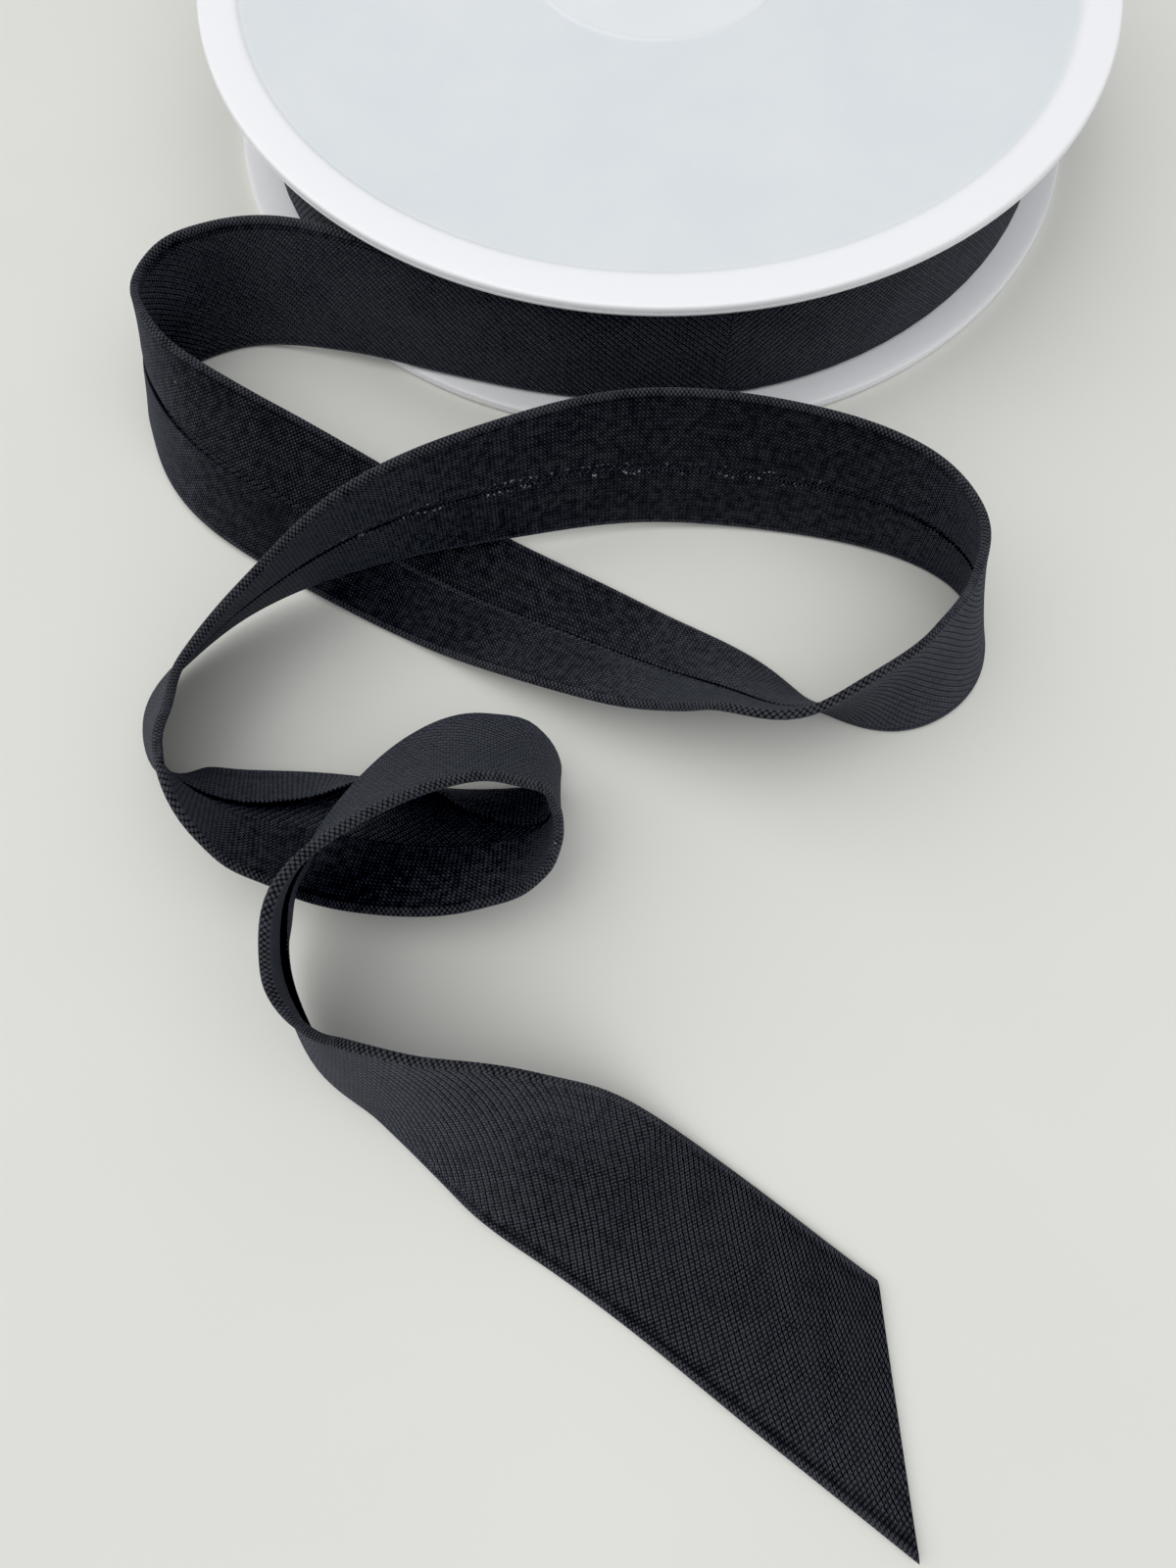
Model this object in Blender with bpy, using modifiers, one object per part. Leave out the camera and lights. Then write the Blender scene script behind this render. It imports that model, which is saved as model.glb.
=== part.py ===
# Roll of bias tape: a moulded plastic spool lying flat, the tape wound on it,
# and the loose end of the tape lying in loops on the table.
# Metres, +Z up. The origin is the middle of the footprint, on the table.

from collections import namedtuple
from math import cos, pi, radians, sin, sqrt, tan

import bmesh
import bpy
from mathutils import Vector

MM = 0.001

# Spool: two flanges pressed on a tubular core
FLANGE_RADIUS = 67 * MM
FLANGE_THICKNESS = 1.8 * MM
SPOOL_HEIGHT = 24.2 * MM
RIM_INNER_RADIUS = 61.5 * MM
RIM_ROUNDING = 0.5 * MM
PANEL_RECESS = 0.25 * MM
HUB_RADIUS = 19 * MM
HUB_RECESS = 0.1 * MM
STEP_SLOPE = 0.3 * MM
SPINDLE_HOLE_RADIUS = 5 * MM
DRIVE_HOLE_RADIUS = 1.6 * MM
DRIVE_HOLE_PITCH_RADIUS = 10.7 * MM
DRIVE_HOLE_ANGLE = 118
DRIVE_HOLES = 3
CORE_RADIUS = 19 * MM
CORE_WALL = 1.6 * MM
TURN_STEPS = 72

# Gap left between pieces that touch
GAP = 0.3 * MM

# Tape: one strip with both sides folded in, so they meet at a slit on its back
TAPE_WIDTH = 20 * MM
TAPE_THICKNESS = 1.2 * MM
CLOTH_THICKNESS = 0.42 * MM
FOLD_ROUNDING = 0.3 * MM
SLIT_OFFSET = -0.6 * MM
SLIT_WIDTH = 0.9 * MM
CUT_SLANT = 40

# Wound roll: its last turn is one tape thickness prouder than the one below
ROLL_STEPS = 90
ROLL_LAST_TURN_RADIUS = 62.8 * MM
LEAVING_ANGLE = -74

# Loose end: how it lies, from the roll to its cut end
STATION_SPACING = 3.8 * MM
EDGE_SOFTNESS = 0.04

# The path is given from the spool's axis, in millimetres and degrees.
# height is that of the strip's middle, or RESTS where an edge is on the table.
# lean is how far the strip is turned from standing with its first edge up:
# 90 lies on its left side and -90 on its right, seen along the strip.
# flap is how far the second side is folded open.
Row = namedtuple("Row", "x y height lean flap", defaults=(0,))
RESTS = None

OFF_THE_ROLL = (
    Row(17.1, -59.8, 12.1, -180),
    Row(5.0, -62.3, 12.1, -180),
    Row(-8.0, -62.6, 12.1, -181),
    Row(-22.5, -60.4, 12.1, -184),
    Row(-35.5, -57.8, 12.0, -188),
    Row(-46.0, -56.0, 10.8, -191),
    Row(-54.0, -56.8, RESTS, -188),
)
FIRST_TURN = (
    Row(-59.5, -60.3, RESTS, -184),
    Row(-63.8, -68.3, RESTS, -167),
    Row(-59.7, -76.2, RESTS, -158),
    Row(-50.7, -83.0, RESTS, -136),
)
LOWER_RUN = (
    Row(-36.3, -88.6, RESTS, -112),
    Row(-16.4, -95.0, RESTS, -92),
    Row(9.1, -104.1, RESTS, -68),
    Row(22.0, -108.0, RESTS, -50),
    Row(29.4, -111.9, RESTS, -30),
)
RIGHT_TURN = (
    Row(37.0, -110.6, RESTS, -9),
    Row(46.0, -106.4, RESTS, 14),
    Row(52.0, -98.5, RESTS, 20),
    Row(51.4, -88.6, RESTS, 11),
    Row(42.4, -81.0, RESTS, -6),
)
UPPER_RUN = (
    Row(25.5, -77.6, RESTS, -18),
    Row(7.4, -79.0, 10.6, -20),
    Row(-10.1, -86.3, 12.3, -10),
    Row(-26.0, -95.5, 12.9, 3),
    Row(-38.0, -105.7, 11.5, 17),
    Row(-46.0, -115.2, 10.2, 30),
)
SECOND_TURN = (
    Row(-46.4, -121.2, 10.6, 31),
    Row(-42.4, -127.2, 10.2, 8),
    Row(-38.2, -131.0, 9.4, -24),
)
NEAR_RUN = (
    Row(-33.2, -133.0, 7.2, -46, 8),
    Row(-27.2, -133.3, RESTS, -64, 26),
    Row(-20.8, -133.4, RESTS, -70, 50),
    Row(-14.5, -133.5, RESTS, -69, 56),
    Row(-9.0, -133.3, RESTS, -66, 42),
    Row(-4.3, -132.7, RESTS, -61, 22),
    Row(-0.2, -131.5, 6.0, -55, 6),
)
SMALL_TURN = (
    Row(2.7, -130.0, 7.4, -38),
    Row(3.6, -127.8, 10.0, -6),
    Row(2.4, -125.6, 13.0, 24),
    Row(-0.5, -124.4, 15.7, 45),
    Row(-8.1, -126.7, 19.2, 44),
    Row(-16.4, -134.0, 20.4, 32),
)
OVER_THE_RUN = (
    Row(-22.8, -143.3, 19.2, 16),
    Row(-23.4, -150.8, 15.4, 8),
    Row(-21.2, -156.0, 12.2, 6),
    Row(-17.2, -159.9, 10.5, 12),
)
TAIL = (
    Row(-9.2, -162.8, RESTS, 24),
    Row(2.0, -165.6, RESTS, 51),
    Row(12.5, -169.4, RESTS, 80),
    Row(23.5, -174.6, RESTS, 90),
    Row(37.0, -181.8, RESTS, 90),
    Row(55.0, -191.4, RESTS, 90),
)
PATH = (OFF_THE_ROLL + FIRST_TURN + LOWER_RUN + RIGHT_TURN + UPPER_RUN
        + SECOND_TURN + NEAR_RUN + SMALL_TURN + OVER_THE_RUN + TAIL)

# The cut end slants over this much of the strip
CUT_BLEND = 45 * MM

WHITE_PLASTIC = (0.86, 0.87, 0.86, 1)
BLACK_CLOTH = (0.012, 0.013, 0.018, 1)


def clear_scene():
    for item in list(bpy.data.objects):
        bpy.data.objects.remove(item)


def make_collection(name):
    collection = bpy.data.collections.new(name)
    bpy.context.scene.collection.children.link(collection)
    return collection


def make_material(name, colour, roughness):
    material = bpy.data.materials.new(name)
    material.use_nodes = True
    shader = material.node_tree.nodes["Principled BSDF"]
    shader.inputs["Base Color"].default_value = colour
    shader.inputs["Roughness"].default_value = roughness
    shader.inputs["Metallic"].default_value = 0
    return material


def add_object(name, mesh, collection, material=None):
    item = bpy.data.objects.new(name, mesh)
    collection.objects.link(item)
    if material:
        item.data.materials.append(material)
    return item


def turned_mesh(name, profile):
    """A profile of (radius, height) points, closed, spun about the axis."""
    mesh = bpy.data.meshes.new(name)
    count = len(profile)
    points = [(radius, 0, height) for radius, height in profile]
    edges = [(i, (i + 1) % count) for i in range(count)]
    mesh.from_pydata(points, edges, [])
    return mesh


def spin(item):
    screw = item.modifiers.new("Turned", "SCREW")
    screw.axis = "Z"
    screw.angle = 2 * pi
    screw.steps = TURN_STEPS
    screw.render_steps = TURN_STEPS
    screw.use_merge_vertices = True
    screw.merge_threshold = 0.01 * MM
    screw.use_smooth_shade = False


def flange_profile():
    """The flange lies with its outer side down: rim, sunk panel and hub."""
    top = FLANGE_THICKNESS
    rim_edge = FLANGE_RADIUS - RIM_ROUNDING
    return [
        (SPINDLE_HOLE_RADIUS, top),
        (rim_edge, top),
        (FLANGE_RADIUS, top - RIM_ROUNDING),
        (FLANGE_RADIUS, RIM_ROUNDING),
        (rim_edge, 0),
        (RIM_INNER_RADIUS, 0),
        (RIM_INNER_RADIUS - STEP_SLOPE, PANEL_RECESS),
        (HUB_RADIUS + STEP_SLOPE, PANEL_RECESS),
        (HUB_RADIUS, HUB_RECESS),
        (SPINDLE_HOLE_RADIUS, HUB_RECESS),
    ]


def drive_hole_cutter(name, collection):
    """Three round pins, one for each small drive hole near the hub's centre."""
    mesh = bpy.data.meshes.new(name)
    pins = bmesh.new()
    for index in range(DRIVE_HOLES):
        angle = radians(DRIVE_HOLE_ANGLE + index * 360 / DRIVE_HOLES)
        reach = DRIVE_HOLE_PITCH_RADIUS
        pin = bmesh.ops.create_cone(
            pins, cap_ends=True, segments=16, radius1=DRIVE_HOLE_RADIUS,
            radius2=DRIVE_HOLE_RADIUS, depth=4 * FLANGE_THICKNESS)
        bmesh.ops.translate(
            pins, verts=pin["verts"], vec=(reach * cos(angle), reach * sin(angle), 0))
    pins.to_mesh(mesh)
    pins.free()
    cutter = add_object(name, mesh, collection)
    cutter.display_type = "WIRE"
    cutter.hide_render = True
    return cutter


def build_flange(name, parts, cutters, material, spool_place, is_top):
    flange = add_object(name, turned_mesh(name, flange_profile()), parts, material)
    cutter = drive_hole_cutter(name + "_cutter", cutters)
    for item in (flange, cutter):
        item.location = spool_place
        if is_top:
            item.location.z = SPOOL_HEIGHT
            item.rotation_euler.x = pi
    spin(flange)
    holes = flange.modifiers.new("Drive holes", "BOOLEAN")
    holes.operation = "DIFFERENCE"
    holes.object = cutter
    return flange


def build_core(parts, material, spool_place):
    low = FLANGE_THICKNESS + GAP
    high = SPOOL_HEIGHT - FLANGE_THICKNESS - GAP
    inner = CORE_RADIUS - CORE_WALL
    profile = [(inner, high), (CORE_RADIUS, high), (CORE_RADIUS, low), (inner, low)]
    core = add_object("core", turned_mesh("core", profile), parts, material)
    core.location = spool_place
    spin(core)
    return core


def roll_outline():
    """The last turn's outside, drawing in by one tape and a gap over the turn."""
    growth = TAPE_THICKNESS + GAP
    points = []
    for index in range(ROLL_STEPS + 1):
        share = index / ROLL_STEPS
        angle = radians(LEAVING_ANGLE) + share * 2 * pi
        radius = ROLL_LAST_TURN_RADIUS - share * growth
        points.append((radius * cos(angle), radius * sin(angle)))
    return points


def circle_points(radius, count):
    angles = [2 * pi * index / count for index in range(count)]
    return [(radius * cos(angle), radius * sin(angle)) for angle in angles]


def add_outline(curve, points):
    spline = curve.splines.new("POLY")
    spline.points.add(len(points) - 1)
    for point, (x, y) in zip(spline.points, points):
        point.co = (x, y, 0, 1)
    spline.use_cyclic_u = True


def build_roll(parts, material, spool_place):
    """All the wound turns as one ring with a spiral outside."""
    height = SPOOL_HEIGHT - 2 * (FLANGE_THICKNESS + GAP)
    curve = bpy.data.curves.new("tape_roll", "CURVE")
    curve.dimensions = "2D"
    curve.fill_mode = "BOTH"
    curve.extrude = height / 2
    add_outline(curve, roll_outline())
    add_outline(curve, circle_points(CORE_RADIUS + GAP, TURN_STEPS))
    roll = add_object("tape_roll", curve, parts, material)
    roll.location = spool_place + Vector((0, 0, SPOOL_HEIGHT / 2))
    return roll


def softened(value):
    """The size of a sine or cosine, rounded off where it passes through zero."""
    most = sqrt(1 + EDGE_SOFTNESS ** 2) - EDGE_SOFTNESS
    return (sqrt(value ** 2 + EDGE_SOFTNESS ** 2) - EDGE_SOFTNESS) / most


def middle_height(row):
    """Height of the strip's middle, worked out where an edge is on the table."""
    if row.height is not RESTS:
        return row.height * MM
    standing = TAPE_WIDTH / 2 * softened(cos(radians(row.lean)))
    lying = TAPE_THICKNESS / 2 * abs(sin(radians(row.lean)))
    return standing + lying


class SmoothPath:
    """A smooth curve through the rows, read by the distance along it."""

    def __init__(self, rows):
        self.values = [
            (row.x * MM, row.y * MM, middle_height(row), row.lean, row.flap)
            for row in rows]
        self.marks = [0]
        for one, two in zip(self.values, self.values[1:]):
            step = (Vector(two[:3]) - Vector(one[:3])).length
            self.marks.append(self.marks[-1] + step)
        self.length = self.marks[-1]
        last = len(rows) - 1
        self.slopes = []
        for index in range(len(rows)):
            low = max(index - 1, 0)
            high = min(index + 1, last)
            span = self.marks[high] - self.marks[low]
            self.slopes.append([
                (b - a) / span for a, b in zip(self.values[low], self.values[high])])

    def at(self, distance):
        distance = min(max(distance, 0), self.length)
        index = 0
        while index < len(self.marks) - 2 and self.marks[index + 1] < distance:
            index += 1
        span = self.marks[index + 1] - self.marks[index]
        t = (distance - self.marks[index]) / span
        start = (1 + 2 * t) * (1 - t) ** 2
        leave = t * (1 - t) ** 2 * span
        end = t * t * (3 - 2 * t)
        arrive = t * t * (t - 1) * span
        return [
            start * a + leave * da + end * b + arrive * db
            for a, da, b, db in zip(
                self.values[index], self.slopes[index],
                self.values[index + 1], self.slopes[index + 1])]

    def frame(self, distance):
        """Middle, direction to the first edge, direction to the back, flap."""
        nudge = 0.4 * MM
        x, y, z, lean, flap = self.at(distance)
        ahead = Vector(self.at(distance + nudge)[:3])
        behind = Vector(self.at(distance - nudge)[:3])
        travel = (ahead - behind).normalized()
        left = Vector((0, 0, 1)).cross(travel).normalized()
        upright = travel.cross(left)
        edge = upright * cos(radians(lean)) + left * sin(radians(lean))
        back = edge.cross(travel)
        return Vector((x, y, z)), edge, back, flap


def tape_section(flap):
    """The folded strip cut across, as (across, depth) points going round.

    The face layer lies at the front. Each side folds back over it, and the
    second side is turned open by flap degrees about its fold.
    """
    half = TAPE_WIDTH / 2
    front = -TAPE_THICKNESS / 2
    back = TAPE_THICKNESS / 2
    inner_front = front + CLOTH_THICKNESS
    inner_back = back - CLOTH_THICKNESS
    first_tip = SLIT_OFFSET + SLIT_WIDTH / 2
    second_tip = SLIT_OFFSET - SLIT_WIDTH / 2
    inside = half - 2 * FOLD_ROUNDING

    def turned(across, depth):
        angle = radians(flap)
        reach = across + inside
        lift = depth - inner_back
        return (-inside + reach * cos(angle) - lift * sin(angle),
                inner_back + reach * sin(angle) + lift * cos(angle))

    return [
        (-half + FOLD_ROUNDING, front),
        (second_tip, front),
        (first_tip, front),
        (half - FOLD_ROUNDING, front),
        (half, front + FOLD_ROUNDING),
        (half, back - FOLD_ROUNDING),
        (half - FOLD_ROUNDING, back),
        (first_tip, back),
        (first_tip, inner_back),
        (inside, inner_back),
        (inside, inner_front),
        (first_tip, inner_front),
        (second_tip, inner_front),
        (-inside, inner_front),
        (-inside, inner_back),
        turned(second_tip, inner_back),
        turned(second_tip, back),
        (-half + FOLD_ROUNDING, back),
        (-half, back - FOLD_ROUNDING),
        (-half, front + FOLD_ROUNDING),
    ]


def tape_rings(path, spool_place):
    """One ring of points at each station, slanting together at the cut end."""
    count = round(path.length / STATION_SPACING)
    rings = []
    for station in range(count + 1):
        distance = path.length * station / count
        near_end = max(0, 1 - (path.length - distance) / CUT_BLEND)
        flap = path.at(distance)[4]
        ring = []
        for across, depth in tape_section(flap):
            short_by = (across + TAPE_WIDTH / 2) * tan(radians(CUT_SLANT)) * near_end
            middle, edge, back, _ = path.frame(distance - short_by)
            ring.append(spool_place + middle + edge * across + back * depth)
        sunk = min(min(point.z for point in ring), 0)
        for point in ring:
            point.z -= sunk
        rings.append(ring)
    return rings


def build_loose_end(parts, material, spool_place, path):
    strip = bmesh.new()
    rings = [[strip.verts.new(point) for point in ring]
             for ring in tape_rings(path, spool_place)]
    section = tape_section(0)
    size = len(section)
    for ring, following in zip(rings, rings[1:]):
        for index in range(size):
            beside = (index + 1) % size
            corners = [ring[index], ring[beside], following[beside], following[index]]
            if section[beside][0] < section[index][0]:
                corners.append(corners.pop(0))
            # The layers' faces are all split the same way, so they stay apart
            one, two, three, four = corners
            strip.faces.new((one, two, three))
            strip.faces.new((one, three, four))
    strip.faces.new(list(reversed(rings[0])))
    strip.faces.new(rings[-1])
    bmesh.ops.recalc_face_normals(strip, faces=strip.faces)
    mesh = bpy.data.meshes.new("tape_loose_end")
    strip.to_mesh(mesh)
    strip.free()
    return add_object("tape_loose_end", mesh, parts, material)


def build():
    clear_scene()
    parts = make_collection("roll_of_bias_tape")
    cutters = make_collection("cutters")

    path = SmoothPath(PATH)
    tip = path.at(path.length)
    _, edge, _, _ = path.frame(path.length)
    nearest = tip[1] - edge.y * TAPE_WIDTH / 2
    spool_place = Vector((0, -(FLANGE_RADIUS + nearest) / 2, 0))

    bottom = make_material("flange_bottom", WHITE_PLASTIC, 0.35)
    tube = make_material("core", WHITE_PLASTIC, 0.45)
    top = make_material("flange_top", WHITE_PLASTIC, 0.35)
    wound = make_material("tape_roll", BLACK_CLOTH, 0.9)
    loose = make_material("tape_loose_end", BLACK_CLOTH, 0.9)

    build_flange("flange_bottom", parts, cutters, bottom, spool_place, is_top=False)
    build_core(parts, tube, spool_place)
    build_flange("flange_top", parts, cutters, top, spool_place, is_top=True)
    build_roll(parts, wound, spool_place)
    build_loose_end(parts, loose, spool_place, path)


build()
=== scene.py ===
# Looks for the roll of bias tape: the white spool, the tape wound on it and
# its loose end lying in loops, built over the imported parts.
# Metres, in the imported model's own frame.

from collections import namedtuple
from math import cos, pi, radians, sin, sqrt, tan

import bmesh
import bpy
import numpy as np
from mathutils import Matrix, Vector


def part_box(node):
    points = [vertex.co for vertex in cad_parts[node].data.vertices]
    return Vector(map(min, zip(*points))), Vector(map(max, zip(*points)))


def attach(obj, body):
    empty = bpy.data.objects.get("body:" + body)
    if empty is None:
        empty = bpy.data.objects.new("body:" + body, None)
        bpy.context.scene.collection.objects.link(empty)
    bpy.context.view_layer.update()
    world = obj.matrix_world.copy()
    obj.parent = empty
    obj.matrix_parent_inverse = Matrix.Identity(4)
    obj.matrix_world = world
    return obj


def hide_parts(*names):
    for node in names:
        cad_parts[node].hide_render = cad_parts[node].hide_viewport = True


MM = 0.001

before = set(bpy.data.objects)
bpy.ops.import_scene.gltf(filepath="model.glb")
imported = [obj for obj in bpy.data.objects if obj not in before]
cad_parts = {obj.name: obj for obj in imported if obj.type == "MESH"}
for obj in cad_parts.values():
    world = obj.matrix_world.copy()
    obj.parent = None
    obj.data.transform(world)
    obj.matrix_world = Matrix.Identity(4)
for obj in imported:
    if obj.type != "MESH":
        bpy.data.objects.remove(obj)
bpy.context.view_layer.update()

# Spool sizes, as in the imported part
FLANGE_RADIUS = 67 * MM
FLANGE_THICKNESS = 1.8 * MM
RIM_INNER_RADIUS = 61.5 * MM
PANEL_RECESS = 0.25 * MM
HUB_RADIUS = 19 * MM
HUB_RECESS = 0.1 * MM
SPINDLE_HOLE_RADIUS = 5 * MM
DRIVE_HOLE_RADIUS = 1.6 * MM
DRIVE_HOLE_PITCH_RADIUS = 10.7 * MM
DRIVE_HOLE_ANGLE = 118
DRIVE_HOLES = 3
CORE_RADIUS = 19 * MM
CORE_WALL = 1.6 * MM
CORE_EDGE_ROUNDING = 0.3 * MM

# Small steps of the moulded flange, seen only here
RIM_GROOVE_TOP = 0.92 * MM
RIM_GROOVE_MIDDLE = 1.05 * MM
RIM_GROOVE_FOOT = 1.15 * MM
RIM_GROOVE_DEPTH = 0.22 * MM
RIM_FOOT_CHAMFER = 0.9 * MM
RIM_FOOT_STEP = 0.1 * MM
RIM_FOOT_RISE = 0.15 * MM
STEP_WIDTH = 0.5 * MM
HUB_STEP_WIDTH = 0.7 * MM
HUB_EDGE_RISE = 0.06 * MM

# The pins that cut the drive holes go right through a flange
DRIVE_PIN_LENGTH = 80 * MM

# How finely round shapes are divided, and from which angle an edge stays sharp
FLANGE_STEPS = 256
CORE_STEPS = 128
DRIVE_HOLE_STEPS = 48
ROUNDING_STEPS = 4
SHARP_ANGLE = 40
FLANGE_SHARP_ANGLE = 35
CLOTH_SHARP_ANGLE = 60

# Tape sizes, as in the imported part
TAPE_WIDTH = 20 * MM
TAPE_THICKNESS = 1.2 * MM
SLIT_OFFSET = -0.6 * MM
SLIT_WIDTH = 0.9 * MM
CUT_SLANT = 40
CUT_BLEND = 45 * MM
EDGE_SOFTNESS = 0.04
ROLL_LAST_TURN_RADIUS = 62.8 * MM
LEAVING_ANGLE = -74

# The cloth is a little thinner here. Its layers lie pressed together at the
# slit, and its free edges are thinner than the rest.
CLOTH_THICKNESS = 0.4 * MM
PRESSED_DEPTH = 0.55 * CLOTH_THICKNESS
FREE_EDGE_SHARE = 0.55

# The wound turns: where they start, the steps in a turn, and how much of its
# thickness a pressed turn keeps
ROLL_INNER_RADIUS = 19.8 * MM
TURN_STEPS = 90
WOUND_SHARE = 0.9

low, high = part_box("flange_bottom")
AXIS = Vector(((low.x + high.x) / 2, (low.y + high.y) / 2, 0))
SPOOL_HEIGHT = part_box("flange_top")[1].z

# The loose end's path from the spool's axis, in millimetres and degrees.
# height is that of the strip's middle, or RESTS where an edge is on the table.
# lean turns the strip from standing with its first edge up. flap and
# first_flap are how far the two folded sides stand open, slit is how far the
# slit between them has moved towards the first edge, and ahead is how far the
# first edge runs ahead of the second where the strip curls over.
Row = namedtuple("Row", "x y height lean flap first_flap slit ahead",
                 defaults=(0, 0, 0, 0))
RESTS = None

PATH = (
    # off the roll
    Row(17.1, -59.8, 12.1, -180),
    Row(5.0, -62.3, 12.1, -180),
    Row(-8.0, -62.6, 12.1, -181),
    Row(-22.5, -60.4, 12.1, -184),
    Row(-35.5, -57.8, 12.0, -188),
    Row(-46.0, -56.0, 10.8, -191),
    Row(-54.0, -56.8, RESTS, -188),
    # first turn
    Row(-59.5, -60.3, RESTS, -184),
    Row(-63.4, -68.0, RESTS, -167),
    Row(-59.3, -75.9, RESTS, -158, 1, 2, 1.0),
    Row(-50.3, -82.7, RESTS, -136, 1, 3, 1.4),
    # lower run
    Row(-36.0, -88.3, RESTS, -112, 0, 1, 1.2),
    Row(-16.4, -95.4, RESTS, -92, 0, 0, 1.4),
    Row(9.1, -104.6, RESTS, -68, 0, 0, 1.4),
    Row(22.0, -108.4, RESTS, -50, 0, 0, 2.6),
    Row(30.0, -111.5, RESTS, -33, 0, 0, 2.6),
    # right turn
    Row(37.0, -110.0, RESTS, -11),
    Row(46.0, -106.0, RESTS, 14),
    Row(51.7, -98.7, RESTS, 20),
    Row(51.4, -88.6, RESTS, 11),
    Row(42.4, -81.0, RESTS, -6, 0, 0, -0.6),
    # upper run
    Row(25.5, -77.6, RESTS, -18, 0, 0, -0.6),
    Row(7.4, -79.0, 10.6, -20, 0, 0, -0.6),
    Row(-10.1, -86.3, 12.3, -10),
    Row(-26.0, -95.5, 12.9, 5),
    Row(-37.8, -105.9, 11.5, 24),
    Row(-45.7, -116.1, 9.4, 32, 0, 0, 0, 2),
    # second turn
    Row(-47.1, -122.1, 8.8, 31, 0, 0, 0, 6),
    Row(-45.2, -128.5, 8.8, 14, 0, 0, 0, 10),
    Row(-39.8, -132.3, 8.8, -22, 0, 0, 0, 9),
    # near run
    Row(-34.3, -133.8, 7.3, -48, 8, 0, 0, 3),
    Row(-27.2, -133.8, RESTS, -64, 26, 0, 0, 1),
    Row(-20.8, -133.9, RESTS, -70, 50),
    Row(-14.5, -134.0, RESTS, -69, 56),
    Row(-9.0, -133.7, RESTS, -66, 42),
    Row(-4.3, -132.8, RESTS, -61, 22),
    Row(0.0, -131.6, 6.0, -55, 6),
    # small turn
    Row(2.6, -130.2, 7.4, -40),
    Row(3.5, -127.9, 10.0, -5),
    Row(2.3, -125.5, 13.0, 23),
    Row(-0.7, -124.4, 15.8, 43),
    Row(-8.1, -126.7, 19.2, 44),
    Row(-16.4, -134.0, 20.4, 32),
    # over the near run
    Row(-22.8, -143.3, 19.2, 17, 2),
    Row(-23.4, -150.8, 15.4, 10, 5),
    Row(-21.3, -156.0, 12.2, 9, 5),
    Row(-17.2, -160.1, 10.5, 11, 2),
    # tail
    Row(-9.0, -162.8, RESTS, 20),
    Row(2.1, -165.7, RESTS, 48),
    Row(12.8, -169.1, RESTS, 80),
    Row(23.7, -174.3, RESTS, 90),
    Row(37.1, -181.7, RESTS, 90),
    Row(55.0, -191.4, RESTS, 90),
)

# The path is read in fine steps and smoothed. Its direction is taken from a
# short stretch to each side. Stations of the strip that would reach into the
# table are lifted, together with a few to each side.
STATION_SPACING = 0.9 * MM
PATH_SMOOTHING = 1.2 * MM
FINE_STEP = 0.3 * MM
TRAVEL_REACH = 0.6 * MM
LIFT_SPREAD = 4

# The small waves of the folded edges: a long wave and a shorter one with it
RIPPLE_HEIGHT = 0.07 * MM
LONG_WAVE = 9 * MM
SHORT_WAVE = 4.3 * MM
SHORT_WAVE_SHARE = 0.6
SHORT_WAVE_SHIFT = 1.3


# Meshes


def add_piece(name, mesh, material):
    piece = bpy.data.objects.new(name, mesh)
    bpy.context.scene.collection.objects.link(piece)
    mesh.materials.append(material)
    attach(piece, "root")
    return piece


def shade_smooth(mesh, angle=SHARP_ANGLE):
    for face in mesh.polygons:
        face.use_smooth = True
    mesh.set_sharp_from_angle(angle=radians(angle))


Corner = namedtuple("Corner", "radius height rounding", defaults=(0,))


def rounded(corners):
    """The closed profile of the corners, with the rounded ones cut to arcs."""
    points = [Vector((corner.radius, corner.height)) for corner in corners]
    count = len(points)
    result = []
    for index, here in enumerate(points):
        rounding = corners[index].rounding
        if not rounding:
            result.append(here)
            continue
        before = (points[index - 1] - here).normalized()
        after = (points[(index + 1) % count] - here).normalized()
        start = here + before * rounding
        end = here + after * rounding
        for step in range(ROUNDING_STEPS + 1):
            share = step / ROUNDING_STEPS
            result.append(start.lerp(here, share).lerp(here.lerp(end, share), share))
    return result


def lathe(name, profile, steps):
    """A closed profile of (radius, height) points spun about the spool's axis."""
    mesh = bpy.data.meshes.new(name)
    vertices = []
    faces = []
    size = len(profile)
    for step in range(steps):
        angle = 2 * pi * step / steps
        for radius, height in profile:
            vertices.append((AXIS.x + radius * cos(angle),
                             AXIS.y + radius * sin(angle), height))
    for step in range(steps):
        here = step * size
        there = (step + 1) % steps * size
        for index in range(size):
            beside = (index + 1) % size
            faces.append((here + index, there + index, there + beside, here + beside))
    mesh.from_pydata(vertices, [], faces)
    turn_outwards(mesh)
    return mesh


def turn_outwards(mesh):
    work = bmesh.new()
    work.from_mesh(mesh)
    bmesh.ops.recalc_face_normals(work, faces=work.faces)
    work.to_mesh(mesh)
    work.free()


# Materials


# Colours are linear red, green, blue and alpha
PLASTIC = (0.9, 0.895, 0.91, 1)
# painted shade of the dark tape showing through the thin plastic
PLASTIC_SHADED_BY_TAPE = (0.72, 0.75, 0.77, 1)
# the cloth's painted shade in the gaps of the weave and its painted lit thread tops
CLOTH_DEEP = (0.0006, 0.0006, 0.0012, 1)
CLOTH_LIT = (0.062, 0.064, 0.072, 1)
CLOTH_SHEEN = (0.62, 0.68, 0.85, 1)
# lint specks, and also the painted specks of light through the cloth at the slit
LINT_AND_SLIT_LIGHT = (0.55, 0.56, 0.6, 1)

# How far light goes into the plastic, and the radii between which the painted
# shade of the dark tape behind the thin plastic begins
PLASTIC_DEPTH = (3 * MM, 3 * MM, 3 * MM)
RIM_BORDER = (60.4 * MM, 62.4 * MM)
HUB_BORDER = (18.2 * MM, 19.6 * MM)
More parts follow.
